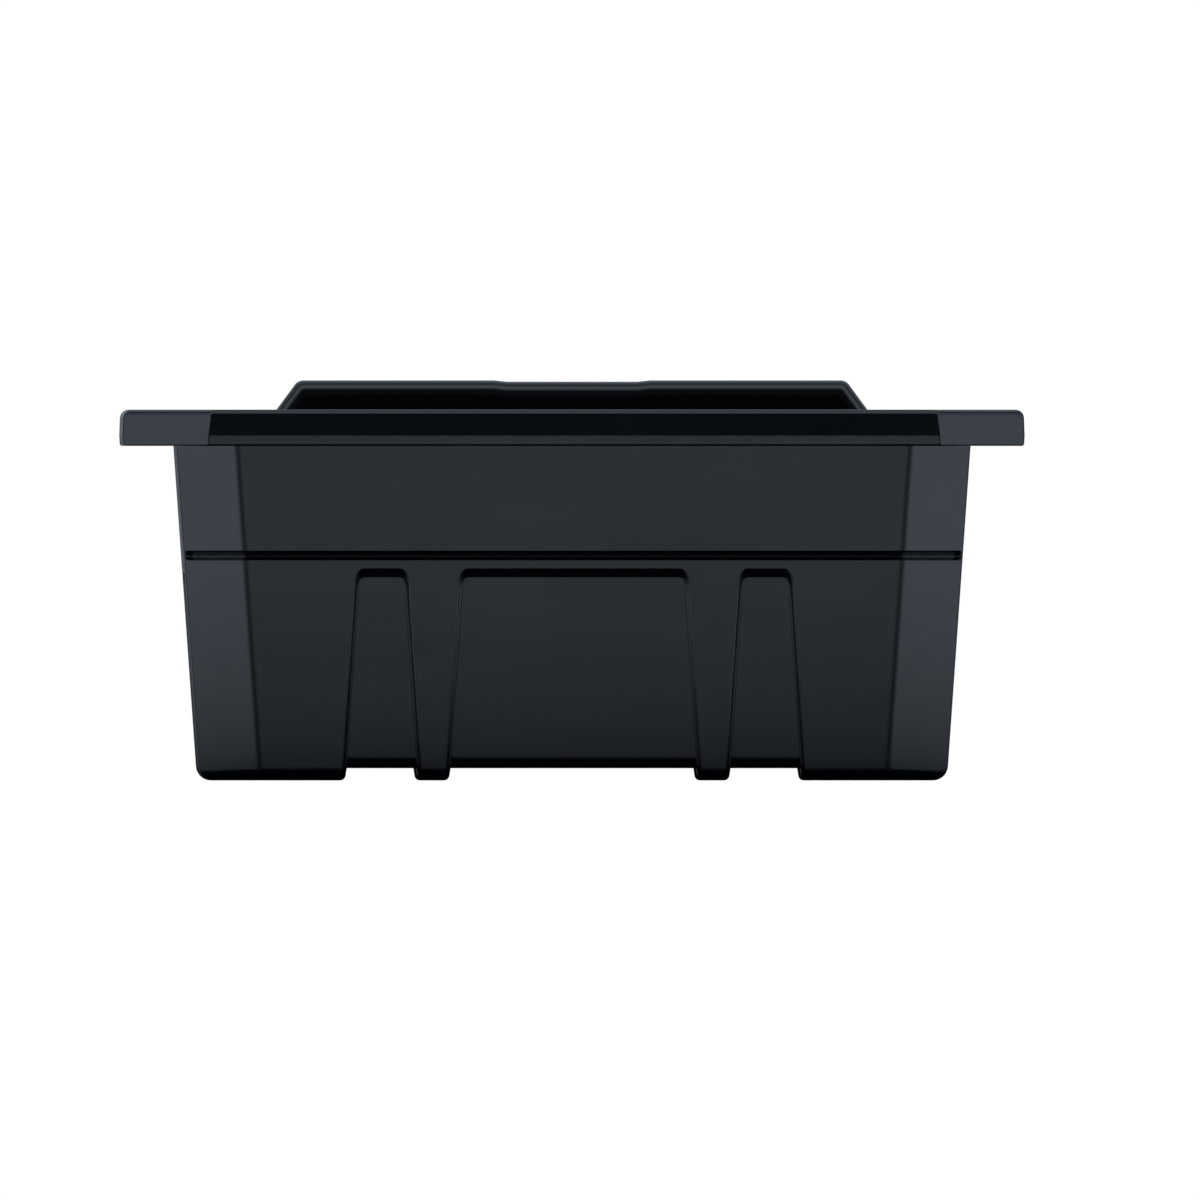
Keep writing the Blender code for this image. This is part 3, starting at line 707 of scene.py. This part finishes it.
def make_bush(name, side):
    """Acetal tube with small chamfers at its mouths."""
    nose = 0.0004
    inner = AXLE_RADIUS + GAP
    low, high = BUSH_LOW.x, BUSH_HIGH.x
    profile = [
        (inner, low + nose), (inner + nose, low), (BUSH_RADIUS - nose, low),
        (BUSH_RADIUS, low + nose), (BUSH_RADIUS, high - nose), (BUSH_RADIUS - nose, high),
        (inner + nose, high), (inner, high - nose), (inner, low + nose),
    ]
    builder = bmesh.new()

    def along_axle(x, y, z):
        return (side * z, x, AXLE_HEIGHT + y)

    add_turned(builder, profile, along_axle)
    bmesh.ops.remove_doubles(builder, verts=builder.verts, dist=0.000001)
    tidy_normals(builder)
    return bake(new_object(f"bush_{name}", builder))


def make_cap(name, side):
    """Upper half of the bearing: an arch with two ears for screws, its edges rounded."""
    base = AXLE_HEIGHT + GAP / 2
    start = math.asin((CAP_EAR_TOP - AXLE_HEIGHT) / CAP_ARCH)
    outline = [(-BOSS_HALF_WIDTH, base), (BOSS_HALF_WIDTH, base), (BOSS_HALF_WIDTH, CAP_EAR_TOP)]
    steps = 40
    for step in range(steps + 1):
        angle = mix(start, math.pi - start, step / steps)
        outline.append((CAP_ARCH * math.cos(angle), AXLE_HEIGHT + CAP_ARCH * math.sin(angle)))
    outline.append((-BOSS_HALF_WIDTH, CAP_EAR_TOP))
    builder = bmesh.new()

    def place(y, z, x):
        return (side * x, y, z)

    add_prism(builder, outline, place, CAP_LOW.x, CAP_HIGH.x)
    tidy_normals(builder)
    cap = new_object(f"cap_{name}", builder)
    rounding = cap.modifiers.new("rounding", "BEVEL")
    rounding.width = 0.0006
    rounding.segments = 3
    rounding.limit_method = "ANGLE"
    rounding.angle_limit = math.radians(25.0)
    cutter = bearing_cutter()
    add_boolean(cap, cutter, "DIFFERENCE")
    return bake(cap, (cutter,))


def make_screw(name, side, front):
    """Pan head screw with a cross recess."""
    seat = CAP_EAR_TOP + GAP
    top = SCREW_HIGH.z
    head = top - seat
    dome_steps = 8
    profile = [(0.0, SCREW_LOW.z), (SCREW_RADIUS * 0.6, SCREW_LOW.z), (SCREW_RADIUS, SCREW_LOW.z + 0.0015)]
    profile += [(SCREW_RADIUS, seat), (SCREW_HEAD_RADIUS - 0.0002, seat)]
    profile += [(SCREW_HEAD_RADIUS, seat + 0.0002), (SCREW_HEAD_RADIUS, seat + head * 0.4)]
    for step in range(1, dome_steps + 1):
        angle = math.pi / 2 * step / dome_steps
        radius = SCREW_HEAD_RADIUS * math.cos(angle)
        profile.append((max(radius, 0.0), seat + head * (0.4 + 0.6 * math.sin(angle))))
    builder = bmesh.new()
    centre_x, centre_y = side * SCREW_X, front * SCREW_Y

    def upright(x, y, z):
        return (centre_x + x, centre_y + y, z)

    profile[-1] = (0.0, top)
    add_turned(builder, profile, upright, 48)
    tidy_normals(builder)
    screw = new_object(f"screw_{name}", builder)
    recess = bmesh.new()
    half_slot, reach = 0.00032, 0.0019
    for length, width in ((reach, half_slot), (half_slot, reach)):
        corners = [(-length, -width), (length, -width), (length, width), (-length, width)]
        add_prism(recess, corners, upright, top - 0.0015, top + 0.001)
        tidy_normals(recess)
    tool = new_object("recess_tool", recess)
    cut = screw.modifiers.new("recess", "BOOLEAN")
    cut.operation = "DIFFERENCE"
    cut.object = tool
    cut.solver = "EXACT"
    cut.use_self = True
    return bake(screw, (tool,))


# ---------------------------------------------------------------- materials
def add_node(tree, kind, place, **values):
    node = tree.nodes.new(kind)
    node.location = place
    for key, value in values.items():
        setattr(node, key, value)
    return node


def new_material(name):
    material = bpy.data.materials.new(name)
    material.use_nodes = True
    return material, material.node_tree, material.node_tree.nodes["Principled BSDF"]


def noise(tree, source, scale, detail, roughness=0.55, stretch=(1.0, 1.0, 1.0)):
    mapping = add_node(tree, "ShaderNodeMapping", (-900, 0))
    mapping.inputs["Scale"].default_value = stretch
    tree.links.new(source, mapping.inputs["Vector"])
    texture = add_node(tree, "ShaderNodeTexNoise", (-700, 0))
    texture.inputs["Scale"].default_value = scale
    texture.inputs["Detail"].default_value = detail
    texture.inputs["Roughness"].default_value = roughness
    tree.links.new(mapping.outputs["Vector"], texture.inputs["Vector"])
    return texture.outputs["Fac"]


def math_node(tree, operation, *values):
    node = add_node(tree, "ShaderNodeMath", (-400, 0), operation=operation)
    for socket, value in zip(node.inputs, values):
        if isinstance(value, bpy.types.NodeSocket):
            tree.links.new(value, socket)
        else:
            socket.default_value = value
    return node.outputs["Value"]


def ramp(tree, source, low, high, low_value, high_value):
    node = add_node(tree, "ShaderNodeMapRange", (-500, 0))
    node.inputs["From Min"].default_value = low
    node.inputs["From Max"].default_value = high
    node.inputs["To Min"].default_value = low_value
    node.inputs["To Max"].default_value = high_value
    tree.links.new(source, node.inputs["Value"])
    return node.outputs["Result"]


def moulded_plastic(name, colour, roughness, grain):
    """Injection moulded black plastic: fine grain, slow gloss changes, dusty scuffs, worn edges."""
    material, tree, shader = new_material(name)
    place = add_node(tree, "ShaderNodeTexCoord", (-1200, 0)).outputs["Object"]
    clouds = noise(tree, place, 7.0, 4.0)
    fine = noise(tree, place, 1400.0, 2.0)
    flow = noise(tree, place, 26.0, 3.0, stretch=(0.25, 1.0, 1.6))
    wear = ramp(
        tree, add_node(tree, "ShaderNodeNewGeometry", (-1200, -300)).outputs["Pointiness"],
        0.52, 0.60, 0.0, 1.0,
    )
    blend = add_node(tree, "ShaderNodeMix", (-300, 200), data_type="RGBA")
    blend.inputs["A"].default_value = (*colour, 1.0)
    blend.inputs["B"].default_value = (*[channel * 2.2 + 0.004 for channel in colour], 1.0)
    worn = add_node(tree, "ShaderNodeMath", (-400, 200), operation="MULTIPLY")
    tree.links.new(wear, worn.inputs[0])
    tree.links.new(ramp(tree, flow, 0.35, 0.75, 0.0, 0.7), worn.inputs[1])
    tree.links.new(worn.outputs["Value"], blend.inputs["Factor"])
    tree.links.new(blend.outputs["Result"], shader.inputs["Base Color"])
    gloss = add_node(tree, "ShaderNodeMath", (-300, -100), operation="ADD")
    tree.links.new(ramp(tree, clouds, 0.3, 0.7, roughness - 0.02, roughness + 0.03), gloss.inputs[0])
    tree.links.new(ramp(tree, flow, 0.3, 0.8, -0.01, 0.03), gloss.inputs[1])
    tree.links.new(gloss.outputs["Value"], shader.inputs["Roughness"])
    bump = add_node(tree, "ShaderNodeBump", (-300, -300))
    bump.inputs["Strength"].default_value = grain
    bump.inputs["Distance"].default_value = 0.0001
    tree.links.new(fine, bump.inputs["Height"])
    tree.links.new(bump.outputs["Normal"], shader.inputs["Normal"])
    return material


def plain_metal(name, colour, roughness, stretch):
    """Bare or plated steel with fine turning marks."""
    material, tree, shader = new_material(name)
    shader.inputs["Metallic"].default_value = 1.0
    shader.inputs["Base Color"].default_value = (*colour, 1.0)
    place = add_node(tree, "ShaderNodeTexCoord", (-1200, 0)).outputs["Object"]
    marks = noise(tree, place, 900.0, 3.0, stretch=stretch)
    gloss = ramp(tree, marks, 0.3, 0.7, roughness - 0.06, roughness + 0.1)
    tree.links.new(gloss, shader.inputs["Roughness"])
    bump = add_node(tree, "ShaderNodeBump", (-300, -300))
    bump.inputs["Strength"].default_value = 0.15
    bump.inputs["Distance"].default_value = 0.0001
    tree.links.new(marks, bump.inputs["Height"])
    tree.links.new(bump.outputs["Normal"], shader.inputs["Normal"])
    return material


# ---------------------------------------------------------------- studio
CAMERA_YAW = math.radians(0.45)
CAMERA_SIDE = 0.0186          # the picture's middle, right of the tub's middle
CAMERA_HEIGHT = 0.1196
CAMERA_SPAN = 0.7954
CAMERA_DISTANCE = 3.0
STUDIO_TINT = (0.87, 1.0, 1.17)
SIDE_LEVEL = 1.0              # brightness of what the tub reflects, by direction
REAR_LEVEL = 0.28
CEILING_LEVEL = 1.05
ROOM_LEVEL = 0.06
FLOOR_LEVEL = 0.80
FLOOR_DIM = 0.33
FLOOR_SIDE_LEVEL = 1.12
FLOOR_REAR_LEVEL = 0.6
SOFT_LEVEL = 0.35             # what the plain surfaces are lit by, all round
SHADE_POWER = 0.39            # how the floor's reflection brightens with distance from the tub
LIGHT_HEIGHT = 3.0
LIGHT_SIZE = 3.0
LIGHT_POWER = 120.0
FLOOR_RADIUS = 8.0


def make_camera():
    data = bpy.data.cameras.new("camera")
    data.type = "ORTHO"
    data.ortho_scale = CAMERA_SPAN
    data.clip_end = 50.0
    camera = bpy.data.objects.new("camera", data)
    look = Vector((math.sin(CAMERA_YAW), math.cos(CAMERA_YAW), 0.0))
    right = Vector((look.y, -look.x, 0.0))
    camera.location = right * CAMERA_SIDE - look * CAMERA_DISTANCE + Vector((0.0, 0.0, CAMERA_HEIGHT))
    camera.rotation_euler = look.to_track_quat("-Z", "Y").to_euler()
    bpy.context.scene.collection.objects.link(camera)
    bpy.context.scene.camera = camera


def make_disc(name, radius, height):
    builder = bmesh.new()
    bmesh.ops.create_circle(builder, cap_ends=True, segments=96, radius=radius)
    disc = new_object(name, builder)
    disc.location.z = height
    return disc


def make_floor():
    floor = make_disc("studio_floor", FLOOR_RADIUS, -0.0002)
    floor.visible_glossy = False
    material, tree, shader = new_material("pale_floor")
    shader.inputs["Base Color"].default_value = (0.82, 0.82, 0.82, 1.0)
    shader.inputs["Roughness"].default_value = 0.9
    floor.data.materials.append(material)


def make_floor_shade():
    """The dimming of the floor's reflection near the tub, seen only by glossy rays."""
    disc = make_disc("floor_shade", FLOOR_RADIUS, -0.0001)
    disc.visible_camera = False
    disc.visible_diffuse = False
    disc.visible_transmission = False
    disc.visible_shadow = False
    material = bpy.data.materials.new("floor_shade")
    material.use_nodes = True
    tree = material.node_tree
    tree.nodes.clear()
    place = add_node(tree, "ShaderNodeTexCoord", (-1100, 0)).outputs["Object"]
    split = add_node(tree, "ShaderNodeSeparateXYZ", (-900, 0))
    tree.links.new(place, split.inputs["Vector"])
    beyond = []
    for axis, half in (("X", HALF_LENGTH), ("Y", HALF_WIDTH)):
        distance = math_node(tree, "ABSOLUTE", split.outputs[axis])
        beyond.append(math_node(tree, "MAXIMUM", math_node(tree, "SUBTRACT", distance, half), 0.0))
    squares = [math_node(tree, "MULTIPLY", side, side) for side in beyond]
    away = math_node(tree, "SQRT", math_node(tree, "ADD", *squares))
    bright = math_node(tree, "MINIMUM", math_node(tree, "POWER", away, SHADE_POWER), 1.0)
    veil = add_node(tree, "ShaderNodeBsdfTransparent", (200, 0))
    tree.links.new(bright, veil.inputs["Color"])
    output = add_node(tree, "ShaderNodeOutputMaterial", (400, 0))
    tree.links.new(veil.outputs["BSDF"], output.inputs["Surface"])
    disc.data.materials.append(material)


def make_world():
    """White for the camera, an even grey for the plain surfaces, and a lit room for reflections.

    The room is dark in front, bright overhead and at both sides, and dim behind. Below the horizon
    it is a pale floor that darkens under the tub. Every bound in the ramps is a share of a direction
    of length one: across, back or up.
    """
    world = bpy.data.worlds.new("studio_world")
    bpy.context.scene.world = world
    world.use_nodes = True
    tree = world.node_tree
    tree.nodes.clear()
    place = add_node(tree, "ShaderNodeTexCoord", (-900, 0)).outputs["Generated"]
    split = add_node(tree, "ShaderNodeSeparateXYZ", (-700, 0))
    tree.links.new(place, split.inputs["Vector"])
    across = math_node(tree, "ABSOLUTE", split.outputs["X"])
    back = split.outputs["Y"]
    up = split.outputs["Z"]

    overhead = ramp(tree, up, 0.3, 0.62, 0.0, CEILING_LEVEL)
    overhead = math_node(tree, "MULTIPLY", overhead, ramp(tree, back, -0.5, -0.15, 0.0, 1.0))
    ceiling = math_node(tree, "MULTIPLY", overhead, ramp(tree, back, 0.1, 0.4, 1.0, 0.12))
    room = ramp(tree, up, 0.03, 0.08, 0.0, ROOM_LEVEL)
    rear = math_node(tree, "ADD", room, ramp(tree, back, 0.3, 1.0, 0.0, REAR_LEVEL))
    behind_sides = ramp(tree, back, 0.05, 0.35, 1.0, 0.15)
    side = math_node(tree, "MULTIPLY", ramp(tree, across, 0.83, 0.97, 0.0, SIDE_LEVEL), behind_sides)
    above = math_node(tree, "ADD", math_node(tree, "ADD", ceiling, rear), side)

    front_floor = ramp(tree, back, -0.80, -0.97, FLOOR_DIM, FLOOR_LEVEL)
    side_floor = ramp(tree, across, 0.80, 0.97, FLOOR_DIM, FLOOR_SIDE_LEVEL)
    side_floor = math_node(tree, "MULTIPLY", side_floor, behind_sides)
    below = math_node(tree, "MAXIMUM", front_floor, side_floor)
    below = math_node(tree, "MAXIMUM", below, ramp(tree, back, 0.3, 0.8, 0.0, FLOOR_REAR_LEVEL))
    below = math_node(tree, "MULTIPLY", below, ramp(tree, up, -0.64, -0.42, 0.0, 1.0))
    horizon = math_node(tree, "MAXIMUM", ramp(tree, up, -0.04, -0.09, 0.0, 1.0), across)
    below = math_node(tree, "MULTIPLY", below, horizon)

    sky = add_node(tree, "ShaderNodeMix", (-100, 0), data_type="FLOAT")
    tree.links.new(ramp(tree, up, -0.02, 0.02, 0.0, 1.0), sky.inputs["Factor"])
    tree.links.new(below, sky.inputs["A"])
    tree.links.new(above, sky.inputs["B"])
    tint = add_node(tree, "ShaderNodeVectorMath", (0, 0), operation="SCALE")
    tint.inputs[0].default_value = STUDIO_TINT
    tree.links.new(sky.outputs["Result"], tint.inputs["Scale"])

    reflected = add_node(tree, "ShaderNodeBackground", (100, 100))
    tree.links.new(tint.outputs["Vector"], reflected.inputs["Color"])
    soft = add_node(tree, "ShaderNodeBackground", (100, 0))
    soft.inputs["Color"].default_value = (SOFT_LEVEL, SOFT_LEVEL, SOFT_LEVEL, 1.0)
    backdrop = add_node(tree, "ShaderNodeBackground", (100, -100))
    backdrop.inputs["Color"].default_value = (1.0, 1.0, 1.0, 1.0)
    path = add_node(tree, "ShaderNodeLightPath", (0, 300))
    glossy = add_node(tree, "ShaderNodeMixShader", (250, 100))
    tree.links.new(path.outputs["Is Glossy Ray"], glossy.inputs["Fac"])
    tree.links.new(soft.outputs["Background"], glossy.inputs[1])
    tree.links.new(reflected.outputs["Background"], glossy.inputs[2])
    choose = add_node(tree, "ShaderNodeMixShader", (400, 0))
    tree.links.new(path.outputs["Is Camera Ray"], choose.inputs["Fac"])
    tree.links.new(glossy.outputs["Shader"], choose.inputs[1])
    tree.links.new(backdrop.outputs["Background"], choose.inputs[2])
    output = add_node(tree, "ShaderNodeOutputWorld", (600, 0))
    tree.links.new(choose.outputs["Shader"], output.inputs["Surface"])


def add_area_light(name, place, size, power):
    data = bpy.data.lights.new(name, "AREA")
    data.shape = "SQUARE"
    data.size = size
    data.energy = power
    light = bpy.data.objects.new(name, data)
    light.location = place
    light.visible_glossy = False
    bpy.context.scene.collection.objects.link(light)
    return light


def make_lights():
    add_area_light("overhead", (0.0, 0.0, LIGHT_HEIGHT), LIGHT_SIZE, LIGHT_POWER)


# ---------------------------------------------------------------- the whole scene
make_camera()
make_world()
make_floor()
make_floor_shade()
make_lights()

TUB_BLACK = moulded_plastic("tub_black", (0.0004, 0.0015, 0.0034), 0.15, 0.05)
HANDLE_BLACK = moulded_plastic("handle_black", (0.0005, 0.0010, 0.0020), 0.15, 0.04)
CAP_BLACK = moulded_plastic("cap_black", (0.010, 0.011, 0.012), 0.42, 0.12)
BUSH_WHITE = moulded_plastic("bush_white", (0.62, 0.61, 0.57), 0.40, 0.05)
PIN_STEEL = plain_metal("ground_steel", (0.56, 0.57, 0.58), 0.26, (0.2, 1.0, 1.0))
SCREW_ZINC = plain_metal("zinc_plate", (0.66, 0.67, 0.66), 0.34, (1.0, 1.0, 1.0))

make_tub(TUB_BLACK)
make_handle(HANDLE_BLACK)
for side_name, side in (("left", -1), ("right", 1)):
    pin = make_pin(side_name, side)
    finish_piece(pin, "handle", f"axle_pin_{side_name}", PIN_STEEL)
    bush = make_bush(side_name, side)
    finish_piece(bush, "tub", f"pivot_bush_{side_name}", BUSH_WHITE)
    cap = make_cap(side_name, side)
    finish_piece(cap, "tub", f"bearing_cap_{side_name}", CAP_BLACK)
    for end_name, front in (("front", -1), ("rear", 1)):
        name = f"{side_name}_{end_name}"
        screw = make_screw(name, side, front)
        finish_piece(screw, "tub", f"cap_screw_{name}", SCREW_ZINC)

bpy.context.scene.view_settings.view_transform = "Standard"
